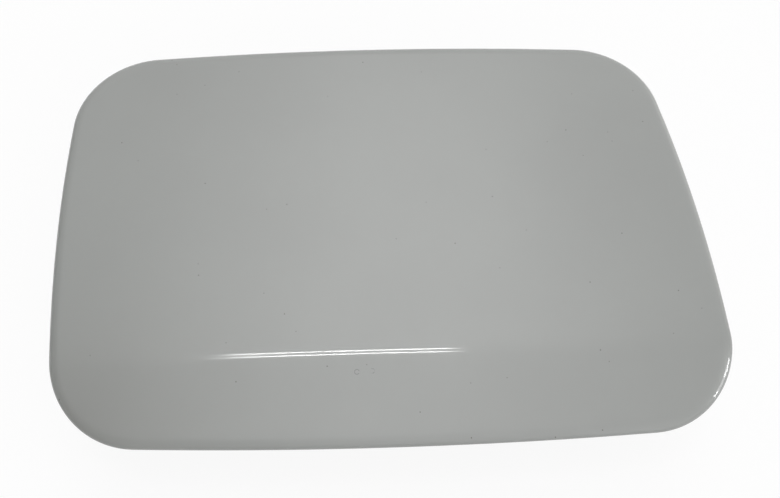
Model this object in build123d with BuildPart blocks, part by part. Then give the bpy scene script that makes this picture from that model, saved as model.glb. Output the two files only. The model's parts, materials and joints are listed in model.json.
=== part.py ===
"""Car fuel door, closed, painted face up. Millimetres, +Z out of the painted face.

The origin is the centre of the two bolt holes, on the underside of the hinge base's foot.
+X runs from the hinge edge to the latch edge, and +Y runs from the creased edge to the plain one.
"""
import os
from math import acos, asin, cos, degrees, radians, sin, sqrt, tan

from build123d import *

# Door outline, measured between the sharp corners before rounding
LOWER_WIDTH = 204.0
UPPER_WIDTH = 190.0
DOOR_HEIGHT = 134.0
HINGE_EDGE_LEAN = 1.0
HINGE_EDGE_BOW = 3.7
LATCH_EDGE_BOW = 4.0
UPPER_EDGE_BOW = 1.4
LOWER_EDGE_BOW = 4.0
CORNER_RADIUS = 27.5

# Form of the painted face
FACE_HEIGHT = 44.0
CROWN_ACROSS = 1500.0
CROWN_ALONG = 1200.0
CREASE_FROM_EDGE = 24.0
CREASE_RADIUS = 30.0
CREASE_ANGLE = 12.0

# Sheets and hem
SKIN = 0.8
INNER_SHEET = 0.7
SHEET_GAP = 0.05
HEM_WIDTH = 8.0
SEALER_WIDTH = 2.4

# Pressed pan of the inner panel
PAN_INSET = 13.0
PAN_DRAFT = 25.0
PAN_DEPTH = 7.0
PAD_DEPTH = 10.5
PAD_MARGIN = 3.0
PAD_CORNER = 5.0
PAD_RADIUS = 1.6
PAN_RADIUS = 3.0
BEAD_RADIUS = 0.8
BEAD_WIDTH = 10.0
BEAD_END_INSET = 54.0
BEAD_SIDE_INSET = 33.0
BEAD_RISE = 2.0
DRAIN_HOLE = 7.0
REINFORCEMENT = 1.2
REINFORCEMENT_CORNER = 4.0
MASTIC_DIAMETER = 8.0
MASTIC_SPACING = 60.0

# Hinge axis
PIN_INSET = 24.0
PIN_DEPTH = 17.0
PIN_DIAMETER = 5.0
PIN_PLAY = 0.05
PIN_HEAD_DIAMETER = 8.5
PIN_HEAD_HEIGHT = 1.8
CLIP_THICKNESS = 0.8
CLIP_DIAMETER = 9.0
CLIP_GROOVE_DIAMETER = 4.0
CLIP_PLAY = 0.05
WASHER_THICKNESS = 0.6
WASHER_DIAMETER = 10.0

# Hinge arm
ARM_SHEET = 1.6
ARM_WIDTH = 30.0
ARM_START = 9.0
ARM_LENGTH = 36.0
EAR_RADIUS = 5.5
STOP_LUG_REACH = 12.0
STOP_LUG_WIDTH = 5.0
STOP_LUG_ANGLE = 191.5
STOP_LUG_ROUND = 1.2
SPRING_TAB_START = 11.0
SPRING_TAB_LENGTH = 5.0

# Bushes
BUSH_WALL = 0.95
BUSH_FLANGE_DIAMETER = 10.0
BUSH_FLANGE = 0.8
BUSH_TAIL = 1.0
BUSH_FIT = 0.02
SIDE_PLAY = 0.2

# Hinge base
BASE_SHEET = 2.0
BOLT_FROM_PIN = 20.0
BOLT_SPACING = 34.0
BOLT_HOLE = 6.6
FOOT_WIDTH = 52.0
FOOT_MARGIN = 12.0
FOOT_CORNER = 6.0
WEB_CLEARANCE = 1.5
FLANGE_TOE = 6.0
BEND_RADIUS = 1.0
DART_LEG = 7.0
DART_WIDTH = 6.0
DART_SPACING = 15.0

# Torsion spring
WIRE = 1.4
WIRE_SIDES = 8
COIL_RADIUS = 4.9
COIL_WHOLE_TURNS = 5
COIL_PITCH = 1.6
SPRING_GAP = 0.05
FIXED_LEG = 13.0
SLEEVE_WALL = 0.85

# Screws and weld nuts
SCREW_DIAMETER = 5.0
SCREW_HOLE = 5.6
SCREW_SPACING = 14.0
SCREW_FROM_ARM_END = 10.0
SCREW_HEAD_FLATS = 8.0
SCREW_HEAD_HEIGHT = 4.0
SCREW_FLANGE_DIAMETER = 11.0
SCREW_FLANGE_HEIGHT = 1.2
SCREW_TIP = 0.8
NUT_DIAMETER = 10.0
NUT_HEIGHT = 4.0
THREAD_GAP = 0.02

# Striker
STRIKER_SHEET = 1.5
STRIKER_FROM_EDGE = 37.0
STRIKER_LENGTH = 24.0
STRIKER_WIDTH = 28.0
STRIKER_CORNER = 4.0
STRIKER_DART_LEG = 5.0
STRIKER_DART_WIDTH = 5.0
TONGUE_WIDTH = 18.0
TONGUE_HEIGHT = 20.0
TONGUE_CHAMFER = 4.0
WINDOW_WIDTH = 10.0
WINDOW_HEIGHT = 7.0
WINDOW_FROM_TIP = 5.0
RIVET_DIAMETER = 3.2
RIVET_SPACING = 18.0
RIVET_HEAD = 6.0
RIVET_HEAD_HEIGHT = 1.6
RIVET_HEAD_ROUND = 1.2
RIVET_TAIL = 5.0
RIVET_TAIL_HEIGHT = 1.2
RIVET_GAP = 0.05

# Cap holder
HOLDER_FROM_MIDDLE = 10.0
HOLDER_WIDTH = 34.0
HOLDER_HEIGHT = 26.0
HOLDER_WALL = 2.4
HOLDER_SLOT = 7.0
HOLDER_NOTCH = 14.0
HOLDER_LEAD_IN = 3.0
HOLDER_FLOOR_HEIGHT = 8.0
STUD_DIAMETER = 5.8
STUD_SPACING = 20.0
STUD_BARB = 0.7
STUD_GAP = 0.1

# Bump stops
BUMP_FROM_EDGE = 38.0
BUMP_SIDE_INSET = 29.0
BUMP_DIAMETER = 13.0
BUMP_HEIGHT = 7.0
BUMP_NECK = 6.0
BUMP_BULB = 8.0
BUMP_BULB_HEIGHT = 2.5

# Places worked out from the values above
PIN_X = -BOLT_FROM_PIN
PIN_Z = FACE_HEIGHT - PIN_DEPTH
HINGE_EDGE_X = PIN_X - PIN_INSET + HINGE_EDGE_BOW
LATCH_EDGE_X = HINGE_EDGE_X + LOWER_WIDTH
CROWN_X = HINGE_EDGE_X + LOWER_WIDTH / 2
CREASE_Y = CREASE_FROM_EDGE - DOOR_HEIGHT / 2
STEEP = cos(radians(45))
HEM_STACK = 2 * SKIN + INNER_SHEET + 2 * SHEET_GAP
HEM_RADIUS = HEM_STACK / 2 - 2 * SHEET_GAP
INNER_TOP = SKIN + SHEET_GAP
PAD_TOP_Z = FACE_HEIGHT - PAD_DEPTH
PAD_UNDER_Z = PAD_TOP_Z - INNER_SHEET
REINFORCED_TOP_Z = PAD_TOP_Z + REINFORCEMENT
ARM_PAD_X = PIN_X + ARM_START + ARM_LENGTH / 2
STRIKER_X = LATCH_EDGE_X - STRIKER_FROM_EDGE
HOLDER_X = CROWN_X + HOLDER_FROM_MIDDLE
BUMP_X = LATCH_EDGE_X - BUMP_FROM_EDGE
BUMP_Y = DOOR_HEIGHT / 2 - BUMP_SIDE_INSET
BEAD_Y = DOOR_HEIGHT / 2 - BEAD_SIDE_INSET
BEAD_LENGTH = LOWER_WIDTH - 2 * BEAD_END_INSET
SCREW_X = PIN_X + ARM_START + ARM_LENGTH - SCREW_FROM_ARM_END
RIVET_X = STRIKER_X - 2 * STRIKER_SHEET
FLANGE_Y = ARM_WIDTH / 2 + BUSH_FLANGE + SIDE_PLAY
FLANGE_OUTER_Y = FLANGE_Y + BASE_SHEET
PIN_HOLE = PIN_DIAMETER / 2 + PIN_PLAY
CLIP_Y = FLANGE_OUTER_Y + WASHER_THICKNESS + 2 * CLIP_PLAY
COIL_OUTER = COIL_RADIUS + WIRE / 2 + SPRING_GAP
COIL_TURNS = round(COIL_WHOLE_TURNS) + 3 / 4
COIL_START_Y = -COIL_TURNS * COIL_PITCH / 2
TAB_TOP_Z = PIN_Z - COIL_OUTER
WEB_X = PIN_X + COIL_OUTER
WEB_TOP_Z = TAB_TOP_Z - ARM_SHEET - WEB_CLEARANCE
SCREW_PLACES = [(SCREW_X, SCREW_SPACING / 2), (SCREW_X, -SCREW_SPACING / 2)]
RIVET_PLACES = [(RIVET_X, RIVET_SPACING / 2), (RIVET_X, -RIVET_SPACING / 2)]
STUD_PLACES = [(HOLDER_X - STUD_SPACING / 2, 0), (HOLDER_X + STUD_SPACING / 2, 0)]
BUMP_PLACES = [(BUMP_X, BUMP_Y), (BUMP_X, -BUMP_Y)]
BEAD_PLACES = [(CROWN_X, BEAD_Y), (CROWN_X, -BEAD_Y)]


def door_outline(inset):
    """The rounded outline of the door, moved inwards by the inset."""
    half = DOOR_HEIGHT / 2
    hinge_lower = (HINGE_EDGE_X, -half)
    latch_lower = (HINGE_EDGE_X + LOWER_WIDTH, -half)
    hinge_upper = (HINGE_EDGE_X - HINGE_EDGE_LEAN, half)
    latch_upper = (HINGE_EDGE_X - HINGE_EDGE_LEAN + UPPER_WIDTH, half)
    with BuildSketch() as outline:
        with BuildLine():
            SagittaArc(hinge_lower, latch_lower, -LOWER_EDGE_BOW)
            SagittaArc(latch_lower, latch_upper, -LATCH_EDGE_BOW)
            SagittaArc(latch_upper, hinge_upper, -UPPER_EDGE_BOW)
            SagittaArc(hinge_upper, hinge_lower, -HINGE_EDGE_BOW)
        make_face()
        fillet(outline.vertices(), CORNER_RADIUS)
        if inset > 0:
            offset(amount=-inset, mode=Mode.REPLACE)
    return outline.sketch


def below_face(depth):
    """Everything under the painted face lowered by the depth, as one thick block."""
    sweep = degrees(asin(LOWER_WIDTH / CROWN_ACROSS))
    middle = (CROWN_X, 0, FACE_HEIGHT - CROWN_ACROSS)
    start = Plane(middle, x_dir=(0, 1, 0), z_dir=(cos(radians(sweep)), 0, sin(radians(sweep))))
    top = CROWN_ACROSS - depth
    bottom = top - FACE_HEIGHT
    bend_y = CREASE_Y + CREASE_RADIUS * tan(radians(CREASE_ANGLE / 2))
    first = degrees(acos(DOOR_HEIGHT / CROWN_ALONG))
    last = degrees(acos(bend_y / CROWN_ALONG))
    with BuildPart() as block:
        with BuildSketch(start):
            with BuildLine():
                upper = CenterArc((0, top - CROWN_ALONG), CROWN_ALONG, first, last - first)
                bend = JernArc(upper @ 1, upper % 1, CREASE_RADIUS, CREASE_ANGLE)
                lower = Line(bend @ 1, bend @ 1 + (bend % 1) * DOOR_HEIGHT / 2)
                Polyline(lower @ 1, ((lower @ 1).X, bottom), (DOOR_HEIGHT, bottom), upper @ 0)
            make_face()
        revolve(axis=Axis(middle, (0, 1, 0)), revolution_arc=2 * sweep)
    return block.part


def steep_faces(block):
    """The faces of a block that stand more upright than flat."""
    return block.faces().filter_by(lambda face: abs(face.normal_at().Z) < STEEP)


def up_faces(block):
    """The faces of a block that look up."""
    return block.faces().filter_by(lambda face: face.normal_at().Z > STEEP)


def down_faces(block):
    """The faces of a block that look down."""
    return block.faces().filter_by(lambda face: face.normal_at().Z < -STEEP)


def under_sheet(shift):
    """Everything under the upper side (no shift) or the lower side (one sheet) of the inner panel."""
    wall = (INNER_SHEET - shift) / cos(radians(PAN_DRAFT))
    drop = FACE_HEIGHT / 2
    with BuildPart() as well:
        with BuildSketch(Plane.XY.offset(FACE_HEIGHT - drop)):
            add(door_outline(PAN_INSET + wall + drop * tan(radians(PAN_DRAFT))))
        with BuildSketch(Plane.XY.offset(FACE_HEIGHT)):
            add(door_outline(PAN_INSET + wall))
        loft(ruled=True)
        add(below_face(PAN_DEPTH + shift), mode=Mode.SUBTRACT)
        fillet(steep_faces(well).edges() & down_faces(well).edges(), PAN_RADIUS + shift)
    with BuildPart() as pads:
        with BuildSketch(Plane.XY.offset(PAD_TOP_Z - shift)):
            margin = 2 * (PAD_MARGIN + shift)
            corner = PAD_CORNER + shift
            with Locations((ARM_PAD_X, 0)):
                RectangleRounded(ARM_LENGTH + margin, ARM_WIDTH + margin, corner)
            with Locations((STRIKER_X, 0)):
                RectangleRounded(STRIKER_LENGTH + margin, STRIKER_WIDTH + margin, corner)
            with Locations((HOLDER_X, 0)):
                RectangleRounded(HOLDER_WIDTH + margin, HOLDER_HEIGHT + margin, corner)
            with Locations(*BUMP_PLACES):
                Circle((BUMP_DIAMETER + margin) / 2)
        extrude(amount=FACE_HEIGHT)
        fillet(pads.edges().group_by(Axis.Z)[0], PAD_RADIUS + shift)
    with BuildPart() as beads:
        with BuildSketch():
            with Locations(*BEAD_PLACES):
                grow = 2 * (INNER_SHEET - shift)
                SlotOverall(BEAD_LENGTH + grow, BEAD_WIDTH + grow)
        extrude(amount=FACE_HEIGHT)
        add(below_face(PAN_DEPTH + shift - BEAD_RISE), mode=Mode.INTERSECT)
        fillet(steep_faces(beads).edges() & up_faces(beads).edges(), BEAD_RADIUS + INNER_SHEET - shift)
    with BuildPart() as side:
        extrude(door_outline(0), amount=FACE_HEIGHT)
        add(below_face(INNER_TOP + shift), mode=Mode.INTERSECT)
        outside = steep_faces(side).edges()
        add(well.part, mode=Mode.SUBTRACT)
        flange = up_faces(side).filter_by(lambda face: len(face.edges() & outside) > 0)
        lip = (steep_faces(side).edges() & flange.edges()) - outside
        fillet(lip, PAN_RADIUS + INNER_SHEET - shift)
        add(pads.part, mode=Mode.SUBTRACT)
        add(beads.part)
    return side.part


def side_plane(y):
    """An upright plane across the hinge at the given y, with X and Z as its two directions."""
    return Plane.XZ.offset(-y)


def wedge(corner_x, corner_z, leg, width):
    """A wedge across a bend, with its right angle at the corner and two equal legs along X and Z."""
    with BuildPart() as block:
        with BuildSketch(side_plane(0)):
            with BuildLine():
                Polyline(
                    (corner_x, corner_z), (corner_x + leg, corner_z), (corner_x, corner_z + leg), close=True
                )
            make_face()
        extrude(amount=width / 2, both=True)
    return block.part


# Outer panel: the skin, folded round the edge of the inner panel in a hem
with BuildPart() as hem_slot:
    extrude(door_outline(SKIN), amount=FACE_HEIGHT)
    add(below_face(SKIN), mode=Mode.INTERSECT)
    add(below_face(HEM_STACK - SKIN), mode=Mode.SUBTRACT)

with BuildPart() as hem_opening:
    extrude(door_outline(HEM_WIDTH), amount=FACE_HEIGHT)
    add(below_face(SKIN), mode=Mode.INTERSECT)

with BuildPart() as outer_panel:
    extrude(door_outline(0), amount=FACE_HEIGHT + HEM_STACK)
    add(below_face(0), mode=Mode.INTERSECT)
    add(below_face(HEM_STACK), mode=Mode.SUBTRACT)
    rim = steep_faces(outer_panel)
    fillet(rim.edges() & (up_faces(outer_panel) + down_faces(outer_panel)).edges(), HEM_RADIUS)
    add(hem_slot.part, mode=Mode.SUBTRACT)
    add(hem_opening.part, mode=Mode.SUBTRACT)

# Inner panel: one pressed sheet with a sunk pan, flat pads, stiffening beads and holes
with BuildPart() as inner_panel:
    add(under_sheet(0))
    add(under_sheet(INNER_SHEET), mode=Mode.SUBTRACT)
    extrude(door_outline(INNER_TOP), amount=FACE_HEIGHT, mode=Mode.INTERSECT)
    with BuildSketch():
        with Locations(*SCREW_PLACES):
            Circle(SCREW_HOLE / 2)
        with Locations(*RIVET_PLACES):
            Circle(RIVET_DIAMETER / 2 + RIVET_GAP)
        with Locations(*STUD_PLACES):
            Circle(STUD_DIAMETER / 2 + STUD_GAP)
        with Locations(*BUMP_PLACES):
            Circle(BUMP_NECK / 2 + STUD_GAP)
        with Locations(*BEAD_PLACES):
            Circle(DRAIN_HOLE / 2)
    extrude(amount=FACE_HEIGHT, mode=Mode.SUBTRACT)

# Hem sealer: a bead in the corner between the folded hem and the inner panel
with BuildPart() as hem_sealer:
    extrude(door_outline(HEM_WIDTH + SHEET_GAP), amount=FACE_HEIGHT)
    extrude(door_outline(HEM_WIDTH + SEALER_WIDTH), amount=FACE_HEIGHT, mode=Mode.SUBTRACT)
    add(below_face(HEM_STACK - SKIN), mode=Mode.INTERSECT)
    add(below_face(HEM_STACK), mode=Mode.SUBTRACT)

# Mastic dabs: soft columns between the stiffening beads and the skin, which keep the skin from fluttering
with BuildPart() as mastic_dabs:
    with BuildSketch():
        with Locations(*BEAD_PLACES):
            with GridLocations(MASTIC_SPACING, 0, 2, 1):
                Circle(MASTIC_DIAMETER / 2)
    extrude(amount=FACE_HEIGHT)
    add(below_face(SKIN + SHEET_GAP), mode=Mode.INTERSECT)
    add(below_face(PAN_DEPTH - BEAD_RISE - SHEET_GAP), mode=Mode.SUBTRACT)

# Reinforcements: flat plates on the hidden side of the hinge pad and the striker pad
with BuildPart() as hinge_reinforcement:
    with BuildSketch(Plane.XY.offset(PAD_TOP_Z)):
        with Locations((ARM_PAD_X, 0)):
            RectangleRounded(ARM_LENGTH, ARM_WIDTH, REINFORCEMENT_CORNER)
        with Locations(*SCREW_PLACES):
            Circle(SCREW_HOLE / 2, mode=Mode.SUBTRACT)
    extrude(amount=REINFORCEMENT)

with BuildPart() as striker_reinforcement:
    with BuildSketch(Plane.XY.offset(PAD_TOP_Z)):
        with Locations((STRIKER_X, 0)):
            RectangleRounded(STRIKER_LENGTH, STRIKER_WIDTH, REINFORCEMENT_CORNER)
        with Locations(*RIVET_PLACES):
            Circle(RIVET_DIAMETER / 2 + RIVET_GAP, mode=Mode.SUBTRACT)
    extrude(amount=REINFORCEMENT)

# Hinge arm: a channel under the hinge pad with two ears, a stop lug on each and a tab for the spring
with BuildSketch() as stop_lug:
    Rectangle(STOP_LUG_REACH, STOP_LUG_WIDTH, align=(Align.MIN, Align.CENTER))
    fillet(stop_lug.vertices().group_by(Axis.X)[-1], STOP_LUG_ROUND)

with BuildPart() as hinge_arm:
    arm_bend = ARM_SHEET + BEND_RADIUS / 2
    channel_x = PIN_X + ARM_START
    channel_side = 3 * ARM_SHEET
    with BuildSketch(Plane.YZ.offset(channel_x)) as channel:
        with Locations((0, PAD_UNDER_Z)):
            Rectangle(ARM_WIDTH, channel_side, align=(Align.CENTER, Align.MAX))
        fillet(channel.vertices().group_by(Axis.Z)[-1], arm_bend)
        with Locations((0, PAD_UNDER_Z - ARM_SHEET)):
            Rectangle(
                ARM_WIDTH - 2 * ARM_SHEET, channel_side, align=(Align.CENTER, Align.MAX), mode=Mode.SUBTRACT
            )
    extrude(amount=ARM_LENGTH)
    for side in (1, -1):
        with BuildSketch(side_plane(side * ARM_WIDTH / 2)):
            with Locations(Location((PIN_X, PIN_Z), STOP_LUG_ANGLE)):
                add(stop_lug.sketch)
            with Locations((PIN_X, PIN_Z)):
                Circle(EAR_RADIUS)
            with BuildLine():
                Polyline(
                    (PIN_X, PAD_UNDER_Z - arm_bend),
                    (channel_x + ARM_SHEET, PAD_UNDER_Z - arm_bend),
                    (channel_x + ARM_LENGTH, PAD_UNDER_Z - channel_side),
                    (PIN_X + SPRING_TAB_START + SPRING_TAB_LENGTH + ARM_SHEET, TAB_TOP_Z - ARM_SHEET),
                    (PIN_X + SPRING_TAB_START, TAB_TOP_Z - ARM_SHEET),
                    (PIN_X, PIN_Z - EAR_RADIUS),
                    close=True,
                )
            make_face()
            with Locations((PIN_X, PIN_Z)):
                Circle(PIN_HOLE + BUSH_WALL + BUSH_FIT, mode=Mode.SUBTRACT)
        extrude(amount=side * ARM_SHEET)
    tab_inner_y = COIL_START_Y + WIRE
    with BuildSketch(Plane.XY.offset(TAB_TOP_Z)):
        with Locations((PIN_X + SPRING_TAB_START, -ARM_WIDTH / 2)):
            Rectangle(SPRING_TAB_LENGTH, ARM_WIDTH / 2 + tab_inner_y, align=(Align.MIN, Align.MIN))
    extrude(amount=-ARM_SHEET)
    with BuildSketch(Plane.XY.offset(PAD_UNDER_Z)):
        with Locations(*SCREW_PLACES):
            Circle(SCREW_HOLE / 2)
    extrude(amount=-ARM_SHEET, mode=Mode.SUBTRACT)


# Bushes: a sleeve in each ear with a flange on the outside
def bush(side):
    """A flanged bush in the ear on the given side of the hinge."""
    outer_y = side * (ARM_WIDTH / 2 + BUSH_FLANGE)
    with BuildPart() as turned:
        with BuildSketch(side_plane(outer_y)):
            with Locations((PIN_X, PIN_Z)):
                Circle(BUSH_FLANGE_DIAMETER / 2)
        extrude(amount=side * BUSH_FLANGE)
        with BuildSketch(side_plane(outer_y)):
            with Locations((PIN_X, PIN_Z)):
                Circle(PIN_HOLE + BUSH_WALL)
        extrude(amount=side * (BUSH_FLANGE + ARM_SHEET + BUSH_TAIL))
        with BuildSketch(side_plane(outer_y)):
            with Locations((PIN_X, PIN_Z)):
                Circle(PIN_HOLE)
        extrude(amount=side * ARM_WIDTH / 2, mode=Mode.SUBTRACT)
    return turned.part


with BuildPart() as bush_upper:
    add(bush(1))

with BuildPart() as bush_lower:
    add(bush(-1))

# Hinge base: a bolted foot, an upright web and two flanges that carry the pin
with BuildPart() as hinge_base:
    web_outer_x = WEB_X + BASE_SHEET
    foot_start_x = web_outer_x + 2 * BEND_RADIUS
    with BuildSketch():
        with Locations((FOOT_MARGIN, 0)):
            Rectangle(FOOT_MARGIN - WEB_X, 2 * FLANGE_OUTER_Y, align=(Align.MAX, Align.CENTER))
        with Locations(((FOOT_MARGIN + foot_start_x) / 2, 0)):
            RectangleRounded(FOOT_MARGIN - foot_start_x, FOOT_WIDTH, FOOT_CORNER)
        with Locations((0, BOLT_SPACING / 2), (0, -BOLT_SPACING / 2)):
            Circle(BOLT_HOLE / 2, mode=Mode.SUBTRACT)
    extrude(amount=BASE_SHEET)
    with BuildSketch():
        with Locations((WEB_X, 0)):
            Rectangle(BASE_SHEET, 2 * FLANGE_OUTER_Y, align=(Align.MIN, Align.CENTER))
    extrude(amount=WEB_TOP_Z)
    for side in (1, -1):
        with BuildSketch(side_plane(side * FLANGE_OUTER_Y)):
            with Locations((PIN_X, PIN_Z)):
                Circle(EAR_RADIUS)
            with BuildLine():
                Polyline(
                    (PIN_X - EAR_RADIUS, PIN_Z),
                    (WEB_X - FLANGE_TOE, BASE_SHEET + BEND_RADIUS),
                    (web_outer_x, BASE_SHEET + BEND_RADIUS),
                    (web_outer_x, WEB_TOP_Z),
                    (PIN_X + EAR_RADIUS, PIN_Z),
                    close=True,
                )
            make_face()
            with Locations((PIN_X, PIN_Z)):
                Circle(PIN_HOLE, mode=Mode.SUBTRACT)
        extrude(amount=side * BASE_SHEET)
    along = hinge_base.edges().filter_by(Axis.Y)
    outer_bend = along.group_by(Axis.Z)[0].sort_by(Axis.X)[0]
    fillet(outer_bend, BASE_SHEET + BEND_RADIUS)
    inner_bend = hinge_base.edges().filter_by(Axis.Y).filter_by_position(
        Axis.Z, BASE_SHEET, BASE_SHEET
    ).sort_by(Axis.X)[0]
    fillet(inner_bend, BEND_RADIUS)
    with Locations((0, DART_SPACING / 2, 0), (0, -DART_SPACING / 2, 0)):
        add(wedge(web_outer_x, BASE_SHEET, DART_LEG, DART_WIDTH))
        add(
            wedge(WEB_X, 0, DART_LEG + BASE_SHEET * (2 - sqrt(2)), DART_WIDTH - 2 * BASE_SHEET),
            mode=Mode.SUBTRACT,
        )

# Hinge pin: a headed pin through both flanges, with a groove for the clip
with BuildPart() as hinge_pin:
    with BuildSketch(side_plane(-FLANGE_OUTER_Y)):
        with Locations((PIN_X, PIN_Z)):
            Circle(PIN_HEAD_DIAMETER / 2)
    extrude(amount=PIN_HEAD_HEIGHT)
    fillet(hinge_pin.edges().sort_by(Axis.Y)[0], PIN_HEAD_HEIGHT / 2)
    with BuildSketch(side_plane(-FLANGE_OUTER_Y)):
        with Locations((PIN_X, PIN_Z)):
            Circle(PIN_DIAMETER / 2)
    extrude(amount=-(FLANGE_OUTER_Y + CLIP_Y + 3 * CLIP_THICKNESS))
    chamfer(hinge_pin.edges().sort_by(Axis.Y)[-1], CLIP_THICKNESS / 2)
    with BuildSketch(side_plane(CLIP_Y - CLIP_PLAY)):
        with Locations((PIN_X, PIN_Z)):
            Circle(PIN_DIAMETER)
            Circle(CLIP_GROOVE_DIAMETER / 2, mode=Mode.SUBTRACT)
    extrude(amount=-(CLIP_THICKNESS + 2 * CLIP_PLAY), mode=Mode.SUBTRACT)

# Pin washer: between the flange and the clip
with BuildPart() as pin_washer:
    with BuildSketch(side_plane(FLANGE_OUTER_Y + CLIP_PLAY)):
        with Locations((PIN_X, PIN_Z)):
            Circle(WASHER_DIAMETER / 2)
            Circle(PIN_HOLE, mode=Mode.SUBTRACT)
    extrude(amount=-WASHER_THICKNESS)

# Spring sleeve: a tube on the pin that keeps the coils round and quiet
with BuildPart() as spring_sleeve:
    with BuildSketch(side_plane(0)):
        with Locations((PIN_X, PIN_Z)):
            Circle(PIN_HOLE + SLEEVE_WALL)
            Circle(PIN_HOLE, mode=Mode.SUBTRACT)
    extrude(amount=ARM_WIDTH / 2 - ARM_SHEET - BUSH_TAIL - SIDE_PLAY, both=True)

# Pin clip: an open ring with three prongs that reach into the groove
with BuildPart() as pin_clip:
    clip_radius = CLIP_DIAMETER / 2
    clip_bore = CLIP_GROOVE_DIAMETER / 2 + CLIP_PLAY
    clip_rim = (clip_radius + 2 * clip_bore) / 3
    with BuildSketch(side_plane(CLIP_Y)):
        with Locations((PIN_X, PIN_Z)):
            Circle(clip_radius)
            Circle(clip_rim, mode=Mode.SUBTRACT)
            for turn in (-30, 90, 210):
                Rectangle(
                    (clip_rim + clip_radius) / 2, clip_bore, turn, (Align.MIN, Align.CENTER)
                )
            Circle(clip_bore, mode=Mode.SUBTRACT)
            Rectangle(clip_bore, clip_radius, align=(Align.CENTER, Align.MAX), mode=Mode.SUBTRACT)
    extrude(amount=-CLIP_THICKNESS)

# Torsion spring: coils round the pin, one leg on the arm's tab and the other against the web
with BuildLine() as coil:
    Helix(COIL_PITCH, COIL_TURNS * COIL_PITCH, COIL_RADIUS)
wire_path = Plane((PIN_X, COIL_START_Y, PIN_Z), x_dir=(0, 0, -1), z_dir=(0, 1, 0)) * coil.line

with BuildPart() as torsion_spring:
    with BuildSketch(Plane(wire_path @ 0, x_dir=(0, 0, 1), z_dir=wire_path % 0)):
        RegularPolygon(WIRE / 2, WIRE_SIDES)
    sweep(path=wire_path, is_frenet=True)
    with BuildSketch(Plane(wire_path @ 0, x_dir=(0, 0, 1), z_dir=wire_path % 0)):
        RegularPolygon(WIRE / 2, WIRE_SIDES)
    extrude(amount=-(SPRING_TAB_START + SPRING_TAB_LENGTH - WIRE / 2))
    with BuildSketch(Plane(wire_path @ 1, x_dir=(1, 0, 0), z_dir=wire_path % 1)):
        RegularPolygon(WIRE / 2, WIRE_SIDES)
    extrude(amount=FIXED_LEG)

# Arm screws: two flange screws, put in from below
with BuildPart() as arm_screws:
    seat = Plane.XY.offset(PAD_UNDER_Z - ARM_SHEET)
    with BuildSketch(seat):
        with Locations(*SCREW_PLACES):
            Circle(SCREW_DIAMETER / 2)
    extrude(amount=ARM_SHEET + INNER_SHEET + REINFORCEMENT + NUT_HEIGHT + SCREW_TIP)
    with BuildSketch(seat):
        with Locations(*SCREW_PLACES):
            Circle(SCREW_FLANGE_DIAMETER / 2)
    extrude(amount=-SCREW_FLANGE_HEIGHT)
    with BuildSketch(seat):
        with Locations(*SCREW_PLACES):
            RegularPolygon(SCREW_HEAD_FLATS / 2, 6, major_radius=False)
    extrude(amount=-SCREW_HEAD_HEIGHT)

# Weld nuts: one over each screw hole, on the hinge reinforcement
with BuildPart() as weld_nuts:
    with BuildSketch(Plane.XY.offset(REINFORCED_TOP_Z)):
        with Locations(*SCREW_PLACES):
            RegularPolygon(NUT_DIAMETER / 2, 6, major_radius=False)
            Circle(SCREW_DIAMETER / 2 + THREAD_GAP, mode=Mode.SUBTRACT)
    extrude(amount=NUT_HEIGHT)

# Striker: a riveted plate with a tongue that has a window for the latch bolt
with BuildPart() as striker:
    plate_under_z = PAD_UNDER_Z - STRIKER_SHEET
    tongue_x = STRIKER_X + STRIKER_LENGTH / 2 - STRIKER_SHEET
    with BuildSketch(Plane.XY.offset(plate_under_z)) as plate:
        with Locations((STRIKER_X, 0)):
            Rectangle(STRIKER_LENGTH, STRIKER_WIDTH)
        fillet(plate.vertices().group_by(Axis.X)[0], STRIKER_CORNER)
        with Locations(*RIVET_PLACES):
            Circle(RIVET_DIAMETER / 2 + RIVET_GAP, mode=Mode.SUBTRACT)
    extrude(amount=STRIKER_SHEET)
    with BuildSketch(Plane.YZ.offset(tongue_x)) as tongue:
        with Locations((0, PAD_UNDER_Z)):
            Rectangle(TONGUE_WIDTH, STRIKER_SHEET + TONGUE_HEIGHT, align=(Align.CENTER, Align.MAX))
        chamfer(tongue.vertices().group_by(Axis.Z)[0], TONGUE_CHAMFER)
        with Locations((0, plate_under_z - TONGUE_HEIGHT + WINDOW_FROM_TIP + WINDOW_HEIGHT / 2)):
            RectangleRounded(WINDOW_WIDTH, WINDOW_HEIGHT, STRIKER_SHEET, mode=Mode.SUBTRACT)
    extrude(amount=STRIKER_SHEET)
    outer_top = striker.edges().filter_by(Axis.Y).group_by(Axis.Z)[-1].sort_by(Axis.X)[-1]
    fillet(outer_top, STRIKER_SHEET)
    hollow_leg = STRIKER_DART_LEG + STRIKER_SHEET * (2 - sqrt(2))
    add(wedge(tongue_x, plate_under_z, -STRIKER_DART_LEG, STRIKER_DART_WIDTH))
    add(
        wedge(tongue_x + STRIKER_SHEET, PAD_UNDER_Z, -hollow_leg, STRIKER_DART_WIDTH - 2 * STRIKER_SHEET),
        mode=Mode.SUBTRACT,
    )

# Striker rivets: two, with a round head below and a closed end above the inner panel
with BuildPart() as striker_rivets:
    with BuildSketch(Plane.XY.offset(plate_under_z)):
        with Locations(*RIVET_PLACES):
            Circle(RIVET_HEAD / 2)
    extrude(amount=-RIVET_HEAD_HEIGHT)
    fillet(striker_rivets.edges().group_by(Axis.Z)[0], RIVET_HEAD_ROUND)
    with BuildSketch(Plane.XY.offset(plate_under_z)):
        with Locations(*RIVET_PLACES):
            Circle(RIVET_DIAMETER / 2)
    extrude(amount=STRIKER_SHEET + INNER_SHEET + REINFORCEMENT)
    with BuildSketch(Plane.XY.offset(REINFORCED_TOP_Z)):
        with Locations(*RIVET_PLACES):
            Circle(RIVET_TAIL / 2)
    extrude(amount=RIVET_TAIL_HEIGHT)

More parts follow.
